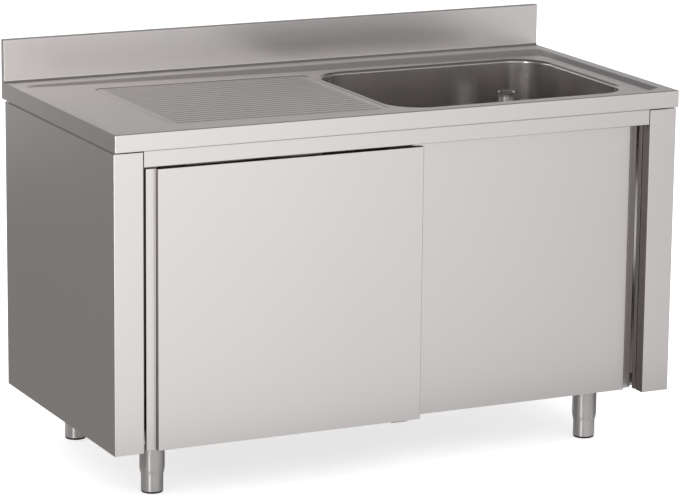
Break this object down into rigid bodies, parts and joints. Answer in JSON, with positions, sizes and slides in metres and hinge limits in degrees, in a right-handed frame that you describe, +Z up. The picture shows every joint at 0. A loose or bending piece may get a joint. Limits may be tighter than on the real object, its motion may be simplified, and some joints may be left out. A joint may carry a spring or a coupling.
{
  "type": "kitchen sink unit",
  "caption": "Stainless steel sink cabinet with a pressed bowl and standpipe, a ribbed drainer, an upstand, hanging sliding doors and levelling feet.",
  "frame": {"origin": "on the floor, under the middle of the worktop's length and depth", "axes": "+X to the right seen from the front, +Y to the back, towards the wall, +Z up"},
  "size_m": [1.4, 0.7, 0.95],
  "materials": {
    "brushed_steel": "satin brushed stainless sheet",
    "polished_steel": "polished",
    "zinc_steel": "dull zinc plate",
    "black_steel": "black painted steel",
    "black_rubber": "matt moulded",
    "black_plastic": "moulded",
    "white_nylon": "moulded",
    "underlay_board": "sealed laminated board"
  },
  "bodies": {
    "cabinet": {"worktop": "brushed_steel", "underlay_board": "underlay_board", "sink_bowl": "brushed_steel", "waste_flange": "polished_steel", "waste_gasket": "black_rubber", "waste_body": "black_plastic", "left_side_panel": "brushed_steel", "right_side_panel": "brushed_steel", "left_jamb": "brushed_steel", "right_jamb": "brushed_steel", "rear_panel": "brushed_steel", "top_rail": "brushed_steel", "door_track": "zinc_steel", "bottom_shelf": "brushed_steel", "shelf_stiffener": "zinc_steel", "centre_door_guide": "zinc_steel", "front_guide_fin": "white_nylon", "rear_guide_fin": "white_nylon", "front_track_left_stop": "black_rubber", "front_track_right_stop": "black_rubber", "rear_track_left_stop": "black_rubber", "rear_track_right_stop": "black_rubber", "front_left_leg": "brushed_steel", "front_left_leg_nut": "black_plastic", "front_right_leg": "brushed_steel", "front_right_leg_nut": "black_plastic", "rear_left_leg": "brushed_steel", "rear_left_leg_nut": "black_plastic", "rear_right_leg": "brushed_steel", "rear_right_leg_nut": "black_plastic"},
    "left_door": {"left_door_skin": "brushed_steel", "left_door_liner": "brushed_steel", "left_door_outer_hanger": "black_steel", "left_door_inner_hanger": "black_steel"},
    "left_door_outer_wheel": {"left_door_outer_roller": "white_nylon"},
    "left_door_inner_wheel": {"left_door_inner_roller": "white_nylon"},
    "right_door": {"right_door_skin": "brushed_steel", "right_door_liner": "brushed_steel", "right_door_outer_hanger": "black_steel", "right_door_inner_hanger": "black_steel"},
    "right_door_outer_wheel": {"right_door_outer_roller": "white_nylon"},
    "right_door_inner_wheel": {"right_door_inner_roller": "white_nylon"},
    "overflow_pipe": {"standpipe": "polished_steel", "standpipe_seal": "black_rubber"},
    "front_left_levelling_foot": {"front_left_foot": "polished_steel", "front_left_sole": "black_rubber"},
    "front_right_levelling_foot": {"front_right_foot": "polished_steel", "front_right_sole": "black_rubber"},
    "rear_left_levelling_foot": {"rear_left_foot": "polished_steel", "rear_left_sole": "black_rubber"},
    "rear_right_levelling_foot": {"rear_right_foot": "polished_steel", "rear_right_sole": "black_rubber"}
  },
  "joints": [
    {"name": "left_door_slide", "type": "slide", "parent": "cabinet", "child": "left_door", "axis": [1, 0, 0], "range_m": [-0.0105, 0.5775]},
    {"name": "right_door_slide", "type": "slide", "parent": "cabinet", "child": "right_door", "axis": [1, 0, 0], "range_m": [-0.588, 0]},
    {"name": "left_door_outer_roll", "type": "hinge", "parent": "left_door", "child": "left_door_outer_wheel", "pos_m": [-0.558, -0.3255, 0.7958], "axis": [0, 1, 0], "range_deg": [-61, 3310]},
    {"name": "left_door_inner_roll", "type": "hinge", "parent": "left_door", "child": "left_door_inner_wheel", "pos_m": [-0.009, -0.3255, 0.7958], "axis": [0, 1, 0], "range_deg": [-61, 3310]},
    {"name": "right_door_outer_roll", "type": "hinge", "parent": "right_door", "child": "right_door_outer_wheel", "pos_m": [0.5685, -0.2915, 0.7958], "axis": [0, 1, 0], "range_deg": [-3370, 1]},
    {"name": "right_door_inner_roll", "type": "hinge", "parent": "right_door", "child": "right_door_inner_wheel", "pos_m": [0.0195, -0.2915, 0.7958], "axis": [0, 1, 0], "range_deg": [-3370, 1]},
    {"name": "standpipe_lift", "type": "slide", "parent": "cabinet", "child": "overflow_pipe", "axis": [0, 0, 1], "range_m": [0, 0.33]},
    {"name": "front_left_levelling", "type": "slide", "parent": "cabinet", "child": "front_left_levelling_foot", "axis": [0, 0, 1], "range_m": [-0.03, 0.01]},
    {"name": "front_right_levelling", "type": "slide", "parent": "cabinet", "child": "front_right_levelling_foot", "axis": [0, 0, 1], "range_m": [-0.03, 0.01]},
    {"name": "rear_left_levelling", "type": "slide", "parent": "cabinet", "child": "rear_left_levelling_foot", "axis": [0, 0, 1], "range_m": [-0.03, 0.01]},
    {"name": "rear_right_levelling", "type": "slide", "parent": "cabinet", "child": "rear_right_levelling_foot", "axis": [0, 0, 1], "range_m": [-0.03, 0.01]}
  ],
  "couplings": [
    {"joint": "left_door_outer_roll", "follows": "left_door_slide", "rad_per_m": 100},
    {"joint": "left_door_inner_roll", "follows": "left_door_slide", "rad_per_m": 100},
    {"joint": "right_door_outer_roll", "follows": "right_door_slide", "rad_per_m": 100},
    {"joint": "right_door_inner_roll", "follows": "right_door_slide", "rad_per_m": 100}
  ]
}
